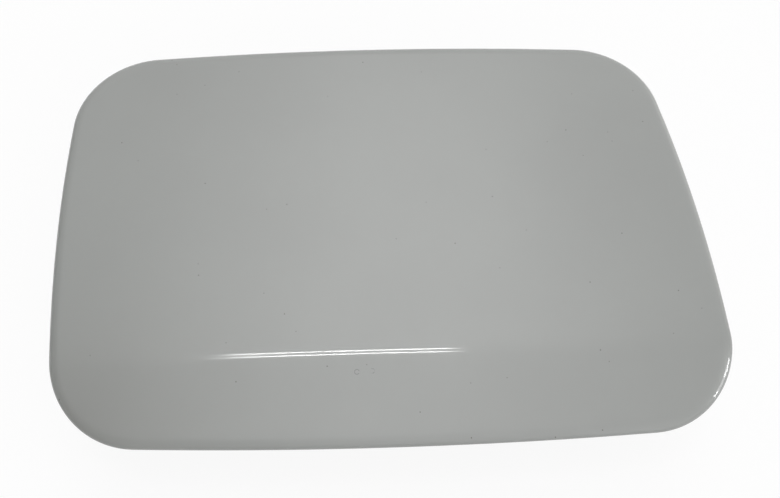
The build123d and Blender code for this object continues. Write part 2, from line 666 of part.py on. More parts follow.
# Cap holder: a clipped cradle, open upwards, with a notch for the neck of the fuel cap
with BuildPart() as cap_holder:
    holder_low_y = -HOLDER_HEIGHT / 2
    with BuildSketch(Plane.XY.offset(PAD_UNDER_Z)):
        with Locations((HOLDER_X, 0)):
            Rectangle(HOLDER_WIDTH, HOLDER_HEIGHT)
    extrude(amount=-HOLDER_WALL)
    with BuildSketch(Plane.XY.offset(PAD_UNDER_Z - HOLDER_WALL)):
        with Locations((HOLDER_X, holder_low_y)):
            Rectangle(HOLDER_WIDTH, HOLDER_WALL, align=(Align.CENTER, Align.MIN))
    extrude(amount=-HOLDER_SLOT)
    with BuildSketch(Plane.XY.offset(PAD_UNDER_Z - HOLDER_WALL - HOLDER_SLOT)) as front:
        with Locations((HOLDER_X, holder_low_y)):
            Rectangle(HOLDER_WIDTH, HOLDER_HEIGHT, align=(Align.CENTER, Align.MIN))
        with Locations((HOLDER_X, holder_low_y + HOLDER_FLOOR_HEIGHT + HOLDER_NOTCH / 2)):
            Circle(HOLDER_NOTCH / 2, mode=Mode.SUBTRACT)
            Rectangle(
                HOLDER_NOTCH, HOLDER_HEIGHT, align=(Align.CENTER, Align.MIN), mode=Mode.SUBTRACT
            )
        mouth = front.vertices().group_by(Axis.Y)[-1].sort_by(Axis.X)
        fillet(mouth[1:-1], HOLDER_LEAD_IN)
    extrude(amount=-HOLDER_WALL)
    corners = cap_holder.edges().filter_by(Axis.Z)
    fillet(corners.group_by(Axis.Y)[0] + corners.group_by(Axis.Y)[-1], HOLDER_WALL / 2)
    with BuildSketch(Plane.XY.offset(PAD_UNDER_Z)):
        with Locations(*STUD_PLACES):
            Circle(STUD_DIAMETER / 2)
    extrude(amount=INNER_SHEET + STUD_GAP)
    with BuildSketch(Plane.XY.offset(PAD_TOP_Z + STUD_GAP)):
        with Locations(*STUD_PLACES):
            Circle(STUD_DIAMETER / 2 + STUD_BARB)
    extrude(amount=HOLDER_WALL)
    chamfer(cap_holder.edges().group_by(Axis.Z)[-1], HOLDER_WALL / 2)


# Bump stops: rubber buttons pushed through the inner panel near the latch corners
def bump_stop(place):
    """A rubber button at the given place, with a neck in the sheet and a bulb above it."""
    with BuildPart() as button:
        with BuildSketch(Plane.XY.offset(PAD_UNDER_Z)):
            with Locations(place):
                Circle(BUMP_DIAMETER / 2)
        extrude(amount=-BUMP_HEIGHT)
        fillet(button.edges().group_by(Axis.Z)[0], BUMP_HEIGHT / 3)
        with BuildSketch(Plane.XY.offset(PAD_UNDER_Z)):
            with Locations(place):
                Circle(BUMP_NECK / 2)
        extrude(amount=INNER_SHEET + STUD_GAP)
        with BuildSketch(Plane.XY.offset(PAD_TOP_Z + STUD_GAP)):
            with Locations(place):
                Circle(BUMP_BULB / 2)
        extrude(amount=BUMP_BULB_HEIGHT)
        chamfer(button.edges().group_by(Axis.Z)[-1], BUMP_BULB_HEIGHT / 2)
    return button.part


with BuildPart() as bump_stop_upper:
    add(bump_stop(BUMP_PLACES[0]))

with BuildPart() as bump_stop_lower:
    add(bump_stop(BUMP_PLACES[1]))

# One file for each piece
os.makedirs("parts", exist_ok=True)

outer_panel.part.label = "outer_panel"
export_step(outer_panel.part, "parts/outer_panel.step")
inner_panel.part.label = "inner_panel"
export_step(inner_panel.part, "parts/inner_panel.step")
hem_sealer.part.label = "hem_sealer"
export_step(hem_sealer.part, "parts/hem_sealer.step")
mastic_dabs.part.label = "mastic_dabs"
export_step(mastic_dabs.part, "parts/mastic_dabs.step")
hinge_reinforcement.part.label = "hinge_reinforcement"
export_step(hinge_reinforcement.part, "parts/hinge_reinforcement.step")
striker_reinforcement.part.label = "striker_reinforcement"
export_step(striker_reinforcement.part, "parts/striker_reinforcement.step")
hinge_arm.part.label = "hinge_arm"
export_step(hinge_arm.part, "parts/hinge_arm.step")
arm_screws.part.label = "arm_screws"
export_step(arm_screws.part, "parts/arm_screws.step")
weld_nuts.part.label = "weld_nuts"
export_step(weld_nuts.part, "parts/weld_nuts.step")
bush_upper.part.label = "bush_upper"
export_step(bush_upper.part, "parts/bush_upper.step")
bush_lower.part.label = "bush_lower"
export_step(bush_lower.part, "parts/bush_lower.step")
striker.part.label = "striker"
export_step(striker.part, "parts/striker.step")
striker_rivets.part.label = "striker_rivets"
export_step(striker_rivets.part, "parts/striker_rivets.step")
cap_holder.part.label = "cap_holder"
export_step(cap_holder.part, "parts/cap_holder.step")
bump_stop_upper.part.label = "bump_stop_upper"
export_step(bump_stop_upper.part, "parts/bump_stop_upper.step")
bump_stop_lower.part.label = "bump_stop_lower"
export_step(bump_stop_lower.part, "parts/bump_stop_lower.step")
hinge_base.part.label = "hinge_base"
export_step(hinge_base.part, "parts/hinge_base.step")
hinge_pin.part.label = "hinge_pin"
export_step(hinge_pin.part, "parts/hinge_pin.step")
pin_washer.part.label = "pin_washer"
export_step(pin_washer.part, "parts/pin_washer.step")
spring_sleeve.part.label = "spring_sleeve"
export_step(spring_sleeve.part, "parts/spring_sleeve.step")
pin_clip.part.label = "pin_clip"
export_step(pin_clip.part, "parts/pin_clip.step")
torsion_spring.part.label = "torsion_spring"
export_step(torsion_spring.part, "parts/torsion_spring.step")
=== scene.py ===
# %% [markdown]
# # A car fuel door
# The frame holds the solids of the door: a painted steel panel that turns on a sprung hinge.
# This lesson gives those solids their paint, metal, plastic and rubber, winds a real wire spring,
# and lights the panel so that its pressed crease shows as it does in the photograph.

# %% Load the frame
import json
import math

import bmesh
import bpy
from mathutils import Matrix, Vector
from mathutils.bvhtree import BVHTree


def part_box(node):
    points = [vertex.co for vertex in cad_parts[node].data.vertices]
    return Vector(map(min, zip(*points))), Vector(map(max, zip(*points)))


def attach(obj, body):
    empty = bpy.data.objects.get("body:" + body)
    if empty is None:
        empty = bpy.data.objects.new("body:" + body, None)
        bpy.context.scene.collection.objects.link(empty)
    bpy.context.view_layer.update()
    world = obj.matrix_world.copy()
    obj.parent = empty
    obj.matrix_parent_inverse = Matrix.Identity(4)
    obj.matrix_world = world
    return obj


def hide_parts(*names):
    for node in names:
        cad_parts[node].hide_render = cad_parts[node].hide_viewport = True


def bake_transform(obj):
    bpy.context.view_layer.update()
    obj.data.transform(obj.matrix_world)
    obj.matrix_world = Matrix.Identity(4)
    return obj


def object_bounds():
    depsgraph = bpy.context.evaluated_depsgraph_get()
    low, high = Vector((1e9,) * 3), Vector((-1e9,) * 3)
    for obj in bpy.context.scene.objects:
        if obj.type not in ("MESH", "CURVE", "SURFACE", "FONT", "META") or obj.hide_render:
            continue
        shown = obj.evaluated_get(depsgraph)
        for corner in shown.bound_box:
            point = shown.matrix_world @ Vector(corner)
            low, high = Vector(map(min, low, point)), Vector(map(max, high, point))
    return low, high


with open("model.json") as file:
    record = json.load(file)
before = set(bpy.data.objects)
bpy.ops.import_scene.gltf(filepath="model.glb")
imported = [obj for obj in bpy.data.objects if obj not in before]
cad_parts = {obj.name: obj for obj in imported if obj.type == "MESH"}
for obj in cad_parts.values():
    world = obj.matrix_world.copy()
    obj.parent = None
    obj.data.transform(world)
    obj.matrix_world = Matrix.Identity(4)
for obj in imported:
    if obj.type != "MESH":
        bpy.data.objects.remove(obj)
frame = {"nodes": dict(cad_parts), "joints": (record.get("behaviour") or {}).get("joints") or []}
cad_low, cad_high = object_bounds()
nodes = frame["nodes"]
hinge = frame["joints"][0]
pin_centre = Vector(hinge["pos_m"])
print("nodes:", len(nodes), "box:", cad_low, cad_high)

# %% [markdown]
# ## Camera
# The photograph looks down on the panel from the side of the creased edge, from about one and a half
# door widths away. A camera is easiest to place by an angle round the object, a height angle and a
# distance from the point it looks at. A small turn about its own view line levels the crease.

# %% Camera
IMAGE_WIDTH = 780
FOCAL_PIXELS = 1050
SENSOR_MM = 36.0
NEAR_CLIP = 0.01
LOOK_AT = Vector((0.06025, -0.01068, 0.044))
CAMERA_TURN = math.radians(-3.96)
CAMERA_HEIGHT = math.radians(63.19)
CAMERA_ROLL = math.radians(1.94)
CAMERA_DISTANCE = 0.3255

toward_camera = Vector((
    math.sin(CAMERA_TURN) * math.cos(CAMERA_HEIGHT),
    -math.cos(CAMERA_TURN) * math.cos(CAMERA_HEIGHT),
    math.sin(CAMERA_HEIGHT),
))
lens = bpy.data.cameras.new("photo_lens")
lens.sensor_width = SENSOR_MM
lens.lens = FOCAL_PIXELS / IMAGE_WIDTH * SENSOR_MM
lens.clip_start = NEAR_CLIP
camera = bpy.data.objects.new("photo_camera", lens)
look = (-toward_camera).to_track_quat("-Z", "Y").to_matrix().to_4x4()
camera.matrix_world = (
    Matrix.Translation(LOOK_AT + toward_camera * CAMERA_DISTANCE)
    @ look
    @ Matrix.Rotation(CAMERA_ROLL, 4, "Z")
)
bpy.context.scene.collection.objects.link(camera)
bpy.context.scene.camera = camera
bpy.context.scene.view_settings.view_transform = "Standard"
print("lens:", round(lens.lens, 1), "mm")

# %% [markdown]
# ## Node helpers
# A material is a small graph. Short helpers keep the graphs readable: one adds a node and sets its plain
# inputs, one joins an output to an input, one starts a finish, and one puts a finish on solids of the frame.


# %% Node helpers
def add_node(tree, kind, inputs=None, **settings):
    """Adds a shader node, sets its plain inputs by name or number, and its settings."""
    node = tree.nodes.new(kind)
    for name, value in settings.items():
        setattr(node, name, value)
    for name, value in (inputs or {}).items():
        node.inputs[name].default_value = value
    return node


def join(tree, source, target, output=0, socket=0):
    """Links one node's output to another node's input."""
    tree.links.new(source.outputs[output], target.inputs[socket])


def new_finish(name, **constants):
    """A material with a Principled shader whose constant sockets are set directly."""
    material = bpy.data.materials.new(name)
    material.use_nodes = True
    tree = material.node_tree
    shader = tree.nodes["Principled BSDF"]
    for socket, value in constants.items():
        shader.inputs[socket.replace("_", " ")].default_value = value
    return material, tree, shader


def dress(material, *names):
    """Gives CAD nodes a material."""
    for name in names:
        nodes[name].data.materials.clear()
        nodes[name].data.materials.append(material)
    print(material.name, "on", *names)


print("to dress:", *sorted(nodes))

# %% [markdown]
# ## Shared effects
# Four effects turn up in many finishes, so each is a node group that is built once: soft patches, where a
# colour or a gloss drifts, specks, which are small spots scattered through space, flat specks, which are
# spots on a lying sheet, and fine grain, which is a height for a bump. A surface cuts a spot in space at
# any depth, so its size varies. Flat spots all keep their size, which suits dust grains on a panel.


# %% Shared effects
def effect_group(name, inputs, output):
    """An empty shader node group with named number sockets."""
    group = bpy.data.node_groups.new(name, "ShaderNodeTree")
    for label, value in inputs.items():
        socket = group.interface.new_socket(label, in_out="INPUT", socket_type="NodeSocketFloat")
        socket.default_value = value
    group.interface.new_socket(output, in_out="OUTPUT", socket_type="NodeSocketFloat")
    return group, group.nodes.new("NodeGroupInput"), group.nodes.new("NodeGroupOutput")


def build_patches():
    """Soft drifting patches, 0 to 1."""
    group, given, result = effect_group("soft_patches", {"Scale": 20.0, "Low": 0.35, "High": 0.7}, "Mask")
    where = add_node(group, "ShaderNodeTexCoord")
    noise = add_node(group, "ShaderNodeTexNoise", {"Detail": 4.0, "Roughness": 0.55})
    spread = add_node(group, "ShaderNodeMapRange", interpolation_type="SMOOTHSTEP")
    join(group, where, noise, "Object", "Vector")
    join(group, given, noise, "Scale", "Scale")
    join(group, noise, spread, "Fac", "Value")
    join(group, given, spread, "Low", "From Min")
    join(group, given, spread, "High", "From Max")
    join(group, spread, result, "Result", "Mask")
    return group


def build_specks(name, dimensions):
    """Small scattered spots, 1 inside a spot. Share is the part of the cells that holds one."""
    group, given, result = effect_group(name, {"Scale": 120.0, "Size": 0.1, "Share": 0.1}, "Mask")
    where = add_node(group, "ShaderNodeTexCoord")
    cells = add_node(group, "ShaderNodeTexVoronoi", {"Randomness": 1.0}, voronoi_dimensions=dimensions)
    near = add_node(group, "ShaderNodeMath", operation="LESS_THAN")
    pick = add_node(group, "ShaderNodeSeparateColor")
    chosen = add_node(group, "ShaderNodeMath", operation="LESS_THAN")
    both = add_node(group, "ShaderNodeMath", operation="MULTIPLY")
    join(group, where, cells, "Object", "Vector")
    join(group, given, cells, "Scale", "Scale")
    join(group, cells, near, "Distance", 0)
    join(group, given, near, "Size", 1)
    join(group, cells, pick, "Color", "Color")
    join(group, pick, chosen, "Red", 0)
    join(group, given, chosen, "Share", 1)
    join(group, near, both, 0, 0)
    join(group, chosen, both, 0, 1)
    join(group, both, result, 0, "Mask")
    return group


def build_grain():
    """A fine even grain, as a height."""
    group, given, result = effect_group("fine_grain", {"Scale": 900.0, "Detail": 2.0}, "Height")
    where = add_node(group, "ShaderNodeTexCoord")
    noise = add_node(group, "ShaderNodeTexNoise", {"Roughness": 0.6})
    join(group, where, noise, "Object", "Vector")
    join(group, given, noise, "Scale", "Scale")
    join(group, given, noise, "Detail", "Detail")
    join(group, noise, result, "Fac", "Height")
    return group


soft_patches = build_patches()
specks = build_specks("specks", "3D")
flat_specks = build_specks("flat_specks", "2D")
fine_grain = build_grain()
print("effects:", [group.name for group in (soft_patches, specks, flat_specks, fine_grain)])

# %% [markdown]
# ## Effects in a finish
# No finish is the same all over: where it is worn, thin or dirty, its colour and its gloss change together.
# So most finishes start from two states, a plain one and a changed one, and one mask of soft patches goes
# between them in colour and in roughness. Grain is added to the normal, because it is too fine for a mesh.


# %% Effects in a finish
def place_effect(tree, group, **values):
    """Places a shared effect in a material with its own values."""
    node = add_node(tree, "ShaderNodeGroup", node_tree=group)
    for name, value in values.items():
        node.inputs[name].default_value = value
    return node


def mix_colours(tree, mask, first, second, output=0):
    """A colour that goes from the first to the second where the mask is 1."""
    mix = add_node(tree, "ShaderNodeMix", data_type="RGBA")
    for label, colour in (("A", first), ("B", second)):
        slot = next(socket for socket in mix.inputs if socket.name == label and socket.type == "RGBA")
        if isinstance(colour, tuple):
            slot.default_value = (*colour, 1.0)
        else:
            tree.links.new(colour, slot)
    tree.links.new(mask.outputs[output], mix.inputs["Factor"])
    return next(socket for socket in mix.outputs if socket.type == "RGBA")


def patchy_finish(name, plain, changed, gloss, scale, low, high, **constants):
    """A finish that drifts between two colours and two roughnesses in soft patches."""
    material, tree, shader = new_finish(name, **constants)
    mask = place_effect(tree, soft_patches, Scale=scale, Low=low, High=high)
    colour = mix_colours(tree, mask, plain, changed)
    tree.links.new(colour, shader.inputs["Base Color"])
    roughness = add_node(tree, "ShaderNodeMapRange", {"To Min": gloss[0], "To Max": gloss[1]})
    join(tree, mask, roughness, "Mask", "Value")
    join(tree, roughness, shader, "Result", "Roughness")
    return material, tree, shader, colour


def add_grain(tree, shader, scale, detail, strength, depth):
    """Lets fine grain disturb the shader's normal."""
    grain = place_effect(tree, fine_grain, Scale=scale, Detail=detail)
    bump = add_node(tree, "ShaderNodeBump", {"Strength": strength, "Distance": depth})
    join(tree, grain, bump, "Height", "Height")
    join(tree, bump, shader, "Normal", "Normal")


print("groups in the file:", len(bpy.data.node_groups))

# %% [markdown]
# ## Body paint
# The skin is sprayed pale grey under clear coat. The film drifts in thickness, and its surface has a shallow
# ripple that blurs reflections. A round gradient about the lower hinge corner darkens the colour there: this
# is painted shade, a dim reflection put into the paint's colour. All this goes to the base layer, and the
# coat over it stays clear.

# %% Body paint
PAINT = (0.343, 0.353, 0.3415)
PAINT_DEEP = (0.329, 0.338, 0.3275)
# Colour of the painted shade towards the lower hinge corner, and where and how far it reaches.
PAINTED_CORNER_SHADE = (0.285, 0.289, 0.277)
SHADE_CORNER = Vector((-0.037, -0.066, 0.036))
SHADE_REACH = 0.075

body_paint, paint_tree, paint_shader, paint_colour = patchy_finish(
    "body_paint", PAINT, PAINT_DEEP, gloss=(0.42, 0.52), scale=14.0, low=0.3, high=0.75,
    Coat_Weight=1.0, Coat_Roughness=0.04, Coat_IOR=1.5, Specular_IOR_Level=0.35,
)
on_paint = add_node(paint_tree, "ShaderNodeTexCoord")
# Painted shade: the base colour darkens in a round gradient about the lower hinge corner.
to_shade_corner = add_node(
    paint_tree, "ShaderNodeMapping", {"Scale": (1 / SHADE_REACH,) * 3, "Location": -SHADE_CORNER / SHADE_REACH}
)
painted_corner_shade = add_node(paint_tree, "ShaderNodeTexGradient", gradient_type="QUADRATIC_SPHERE")
join(paint_tree, on_paint, to_shade_corner, "Object", "Vector")
join(paint_tree, to_shade_corner, painted_corner_shade, 0, "Vector")
paint_colour = mix_colours(paint_tree, painted_corner_shade, paint_colour, PAINTED_CORNER_SHADE, "Fac")
add_grain(paint_tree, paint_shader, scale=420.0, detail=1.0, strength=0.05, depth=0.0002)
dress(body_paint, "outer_panel")

# %% [markdown]
# ## Dirt on the paint
# Dust grains lie on the panel, dark ones and faint ones, and two water drops have dried on the strip below
# the crease. A drop leaves its dirt along its rim, so what stays is a broken ring: all places at one distance
# from the drop's middle, kept only where a very fine pattern of patches is high.

# %% Dirt on the paint
SPECK = (0.17, 0.165, 0.155)
FAINT_SPECK = (0.25, 0.25, 0.24)
DRIED_DROP = (0.235, 0.24, 0.235)
DROP_PLACES = (Vector((0.0490, -0.0497, 0.0415)), Vector((0.0535, -0.0496, 0.0416)))
DROP_RADIUS = 0.0007
DROP_LINE = 0.00013

breaks = place_effect(paint_tree, soft_patches, Scale=900.0, Low=0.42, High=0.5)
for drop_place in DROP_PLACES:
    from_drop = add_node(paint_tree, "ShaderNodeVectorMath", {1: drop_place}, operation="DISTANCE")
    on_ring = add_node(paint_tree, "ShaderNodeMath", {1: DROP_RADIUS, 2: DROP_LINE}, operation="COMPARE")
    broken_ring = add_node(paint_tree, "ShaderNodeMath", operation="MULTIPLY")
    join(paint_tree, on_paint, from_drop, "Object", 0)
    join(paint_tree, from_drop, on_ring, "Value", 0)
    join(paint_tree, on_ring, broken_ring, 0, 0)
    join(paint_tree, breaks, broken_ring, 0, 1)
    paint_colour = mix_colours(paint_tree, broken_ring, paint_colour, DRIED_DROP)

faint_dust = place_effect(paint_tree, flat_specks, Scale=97.0, Size=0.02, Share=0.14)
dust = place_effect(paint_tree, flat_specks, Scale=75.0, Size=0.015, Share=0.16)
paint_colour = mix_colours(paint_tree, faint_dust, paint_colour, FAINT_SPECK)
paint_colour = mix_colours(paint_tree, dust, paint_colour, SPECK)
paint_tree.links.new(paint_colour, paint_shader.inputs["Base Color"])
print("dried drops:", len(DROP_PLACES), "paint nodes:", len(paint_tree.nodes))

# %% [markdown]
# ## Pressed form
# The press gives the sheet a wide crown both ways, a round bend along the creased edge and a straight slope
# below it. Seen along the crease, that is a wide arc, a small arc and a straight line, each of which starts
# in the direction in which the one before ends. So the height of the face is a formula, which is exact
# where a mesh can only come near.

# %% Pressed form
FACE_TOP = 0.044
CROWN_MIDDLE = 0.0617
CROWN_ACROSS = 1.5
CROWN_ALONG = 1.2
CREASE_LINE = -0.043
CREASE_RADIUS = 0.030
CREASE_TURN = math.radians(12)

crease_start = CREASE_LINE + CREASE_RADIUS * math.tan(CREASE_TURN / 2)
slope_before = math.asin(-crease_start / CROWN_ALONG)
slope_after = slope_before + CREASE_TURN
bend_share = CREASE_RADIUS / CROWN_ALONG
bend_y = crease_start * (1 - bend_share)
bend_z = (math.cos(slope_before) * (1 - bend_share) - 1) * CROWN_ALONG
crease_end = bend_y - CREASE_RADIUS * math.sin(slope_after)


def profile(y):
    """The height of the face along its middle line, below the top of the crown."""
    if y >= crease_start:
        return math.sqrt(CROWN_ALONG**2 - y**2) - CROWN_ALONG
    if y >= crease_end:
        return bend_z + math.sqrt(CREASE_RADIUS**2 - (bend_y - y) ** 2)
    return bend_z + CREASE_RADIUS * math.cos(slope_after) - (crease_end - y) * math.tan(slope_after)


def face_height(x, y):
    """The height of the painted face at a place, in the frame."""
    return FACE_TOP - CROWN_ACROSS + math.sqrt((CROWN_ACROSS + profile(y)) ** 2 - (x - CROWN_MIDDLE) ** 2)


print("bend of the crease:", round(crease_start, 4), "to", round(crease_end, 4))

# %% [markdown]
# ## Painted face
# A CAD mesh fits the form but not the light: its long thin triangles cross the crease at odd angles, and
# glossy paint shows that as dark patches. So the face is meshed again. All its triangles are dissolved into
# one large face, and thin rings are inset along the rim, where the sheet will bend. The hem stays as it is.
# The faces of the hem that look sideways are kept in a list, because they mark the outline of the door.

# %% Painted face
ON_FACE = 0.000001
MERGE_GAP = 0.000002
SIDEWAYS = 0.4
RIM_RING = 0.0004
RIM_RINGS = 8

skin = bmesh.new()
skin.from_mesh(nodes["outer_panel"].data)
bmesh.ops.remove_doubles(skin, verts=skin.verts[:], dist=MERGE_GAP)
painted = [
    face for face in skin.faces
    if all(abs(corner.co.z - face_height(corner.co.x, corner.co.y)) < ON_FACE for corner in face.verts)
]
print("face triangles before:", len(painted))
door_middle = Vector((CROWN_MIDDLE, 0.0, 0.0))
outside = [
    face for face in skin.faces
    if abs(face.normal.z) < SIDEWAYS and face.normal.dot(face.calc_center_median() - door_middle) > 0
]
face_pieces = bmesh.ops.dissolve_faces(skin, faces=painted)["region"]
rings = []
for _ in range(RIM_RINGS):
    inset = bmesh.ops.inset_individual(skin, faces=face_pieces, thickness=RIM_RING, use_even_offset=True)
    rings += inset["faces"]
for face in face_pieces + rings:
    face.material_index = 1
print("rings along the rim:", RIM_RINGS, "ring faces:", len(rings))

# %% [markdown]
# ## Grid on the face
# Straight cuts now divide the large face: wide rows and columns on the crown, and many narrow rows across
# the crease, each of which turns by the same small angle. Every corner is then lifted on to the pressed
# form. The second material number only marks the faces that are cut, and goes back to the first at the end.

# %% Grid on the face
GRID_STEP = 0.006
CREASE_ROWS = 18
CUT_SNAP = 0.000005


def steps_between(start, end, step):
    """Even steps from start to end, near the given length, without the two ends."""
    count = round((end - start) / step)
    return [start + (end - start) * index / count for index in range(1, count)]


skin_low, skin_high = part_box("outer_panel")
rows = steps_between(crease_start, skin_high[1], GRID_STEP)
for row in range(CREASE_ROWS + 1):
    rows.append(bend_y - CREASE_RADIUS * math.sin(slope_before + CREASE_TURN * row / CREASE_ROWS))
rows += steps_between(skin_low[1], crease_end, GRID_STEP)
columns = steps_between(skin_low[0], skin_high[0], GRID_STEP)
cuts = [((0.0, row, 0.0), (0.0, 1.0, 0.0)) for row in rows]
cuts += [((column, 0.0, 0.0), (1.0, 0.0, 0.0)) for column in columns]
for point, normal in cuts:
    face_part = [face for face in skin.faces if face.material_index == 1]
    face_edges = {edge for face in face_part for edge in face.edges}
    face_corners = {corner for face in face_part for corner in face.verts}
    cut_part = face_part + list(face_edges) + list(face_corners)
    bmesh.ops.bisect_plane(skin, geom=cut_part, dist=CUT_SNAP, plane_co=point, plane_no=normal)

for face in skin.faces:
    face.smooth = True
    if face.material_index == 1:
        for corner in face.verts:
            corner.co.z = face_height(corner.co.x, corner.co.y)
    face.material_index = 0
print("cuts:", len(rows), "rows and", len(columns), "columns")

# %% [markdown]
# ## Soft edge
# In the photograph the sheet begins to round off some millimetres before the rolled rim. So the corners near
# the outline sink a little, more the nearer they are to it, and less the deeper they lie in the hem. An
# upright fence stands on the outline, and a search tree gives each corner's distance from it. The finished
# skin then takes the place of the solid, and rides on the door.

# %% Soft edge
EDGE_REACH = 0.0032
EDGE_DROP = 0.0007
HEM_STACK = 0.0024
SHARP_ANGLE = math.radians(40)

fence_corners = []
for edge in {edge for face in outside for edge in face.edges}:
    for corner, end in zip((*edge.verts, *reversed(edge.verts)), (-1, -1, 1, 1)):
        fence_corners.append((corner.co.x, corner.co.y, end))
fence_panels = [range(first, first + 4) for first in range(0, len(fence_corners), 4)]
fence = BVHTree.FromPolygons(fence_corners, fence_panels)
for corner in skin.verts:
    to_edge = fence.find_nearest((corner.co.x, corner.co.y, 0.0))[3]
    depth = face_height(corner.co.x, corner.co.y) - corner.co.z
    share = max(0.0, 1 - to_edge / EDGE_REACH) ** 2 * max(0.0, 1 - depth / HEM_STACK)
    corner.co.z -= EDGE_DROP * share

skin_mesh = bpy.data.meshes.new("painted_skin")
skin.to_mesh(skin_mesh)
skin.free()
skin_mesh.set_sharp_from_angle(angle=SHARP_ANGLE)
skin_mesh.materials.append(body_paint)
painted_skin = bpy.data.objects.new("painted_skin", skin_mesh)
bpy.context.scene.collection.objects.link(painted_skin)
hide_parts("outer_panel")
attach(painted_skin, "door")
print("skin faces now:", len(skin_mesh.polygons))

# %% [markdown]
# ## Inner coat
# The inner panel and its sealer only get what drifts past in the spray booth, so the film is thinner and
# duller, the primer shows through in soft patches, and grains of booth dust stick in it.

# %% Inner coat
INNER_COAT = (0.345, 0.355, 0.345)
PRIMER = (0.235, 0.24, 0.24)
BOOTH_DUST = (0.30, 0.29, 0.27)

inner_coat, tree, shader, film = patchy_finish(
    "inner_coat", INNER_COAT, PRIMER, gloss=(0.38, 0.6), scale=38.0, low=0.42, high=0.85,
    Specular_IOR_Level=0.45,
)
grit = place_effect(tree, specks, Scale=260.0, Size=0.12, Share=0.06)
tree.links.new(mix_colours(tree, grit, film, BOOTH_DUST), shader.inputs["Base Color"])
add_grain(tree, shader, scale=1300.0, detail=2.0, strength=0.18, depth=0.0002)
dress(inner_coat, "inner_panel", "hem_sealer")

# %% [markdown]
# ## Dip coat
# The pressed hinge pieces and the two plates are dipped in black coat, which is satin and slightly grainy.
# It goes paler and duller in patches, and fine grit settles on it. The grit is a third colour, laid over the
# two states of the coat, so it is mixed in last.

# %% Dip coat
DIP_BLACK = (0.016, 0.016, 0.017)
DIP_WORN = (0.030, 0.030, 0.031)
DIP_GRIT = (0.09, 0.085, 0.078)

black_coat, tree, shader, film = patchy_finish(
    "black_coat", DIP_BLACK, DIP_WORN, gloss=(0.34, 0.52), scale=90.0, low=0.45, high=0.8,
    Specular_IOR_Level=0.5,
)
grit = place_effect(tree, specks, Scale=700.0, Size=0.2, Share=0.05)
tree.links.new(mix_colours(tree, grit, film, DIP_GRIT), shader.inputs["Base Color"])
add_grain(tree, shader, scale=2200.0, detail=2.0, strength=0.15, depth=0.0001)
dress(black_coat, "hinge_arm", "hinge_base", "hinge_reinforcement", "striker_reinforcement")

# %% [markdown]
# ## Zinc and spring steel
# Screws, nuts, rivets, pin, washer and striker are zinc plated: a bright metal with cloudy patches of gloss.
# The clip and the spring are bare dark spring steel, smoother where oil has stayed on it. Both are plain
# metals in the shader, so all their look comes from what they mirror.

# %% Zinc and spring steel
ZINC_BRIGHT = (0.62, 0.63, 0.64)
ZINC_CLOUDED = (0.47, 0.48, 0.50)
WIRE_BARE = (0.23, 0.23, 0.24)
WIRE_OILED = (0.12, 0.115, 0.11)

zinc, tree, shader, _ = patchy_finish(
    "zinc_plate", ZINC_BRIGHT, ZINC_CLOUDED, gloss=(0.26, 0.44), scale=320.0, low=0.3, high=0.75,
    Metallic=1.0,
)
add_grain(tree, shader, scale=3000.0, detail=1.0, strength=0.12, depth=0.0001)
dress(zinc, "arm_screws", "weld_nuts", "striker", "striker_rivets", "hinge_pin", "pin_washer")

wire_steel, *_ = patchy_finish(
    "spring_steel", WIRE_BARE, WIRE_OILED, gloss=(0.34, 0.22), scale=240.0, low=0.35, high=0.7,
    Metallic=1.0,
)
dress(wire_steel, "pin_clip")

# %% [markdown]
# ## Plastics
# The cap holder is black plastic with the fine grain of an etched mould, paler and duller in scuffed patches.
# The bushes and the sleeve in the spring are natural white bearing plastic, darker and shinier where grease
# has crept. They are turned and smooth, so they get no grain.

# %% Plastics
HOLDER_BLACK = (0.020, 0.020, 0.021)
HOLDER_SCUFFED = (0.042, 0.041, 0.040)
BUSH_WHITE = (0.72, 0.70, 0.63)
BUSH_GREASED = (0.55, 0.52, 0.44)

holder_plastic, tree, shader, _ = patchy_finish(
    "holder_plastic", HOLDER_BLACK, HOLDER_SCUFFED, gloss=(0.5, 0.68), scale=60.0, low=0.5, high=0.85,
    Specular_IOR_Level=0.4,
)
add_grain(tree, shader, scale=1800.0, detail=3.0, strength=0.35, depth=0.0002)
dress(holder_plastic, "cap_holder")

bush_plastic, *_ = patchy_finish(
    "bush_plastic", BUSH_WHITE, BUSH_GREASED, gloss=(0.45, 0.3), scale=300.0, low=0.4, high=0.8,
    Specular_IOR_Level=0.45,
)
dress(bush_plastic, "bush_upper", "bush_lower", "spring_sleeve")

# %% [markdown]
# ## Rubber and mastic
# The stops are matt rubber with a grey bloom. The dabs between the two sheets are mastic, which cures to a
# dull lumpy skin, so its grain is coarser and deeper than that of the rubber.

# %% Rubber and mastic
RUBBER_BLACK = (0.015, 0.015, 0.015)
RUBBER_BLOOM = (0.045, 0.044, 0.043)
MASTIC_FRESH = (0.040, 0.040, 0.038)
MASTIC_SKINNED = (0.062, 0.061, 0.058)

rubber, tree, shader, _ = patchy_finish(
    "stop_rubber", RUBBER_BLACK, RUBBER_BLOOM, gloss=(0.62, 0.85), scale=150.0, low=0.4, high=0.8,
    Specular_IOR_Level=0.3,
)
add_grain(tree, shader, scale=1500.0, detail=2.0, strength=0.2, depth=0.0002)
dress(rubber, "bump_stop_upper", "bump_stop_lower")

mastic, tree, shader, _ = patchy_finish(
    "mastic", MASTIC_FRESH, MASTIC_SKINNED, gloss=(0.55, 0.8), scale=200.0, low=0.35, high=0.75,
    Specular_IOR_Level=0.3,
)
add_grain(tree, shader, scale=700.0, detail=3.0, strength=0.4, depth=0.0003)
dress(mastic, "mastic_dabs")

# %% [markdown]
# ## Spring coil
# The spring is one round wire: a straight leg, turns round the pin, and a second straight leg. A curve with
# a bevel could draw it, but a spin with a step along its axis winds a wire section into a coil in one go,
# and leaves open rings at both ends from which the legs can be drawn.

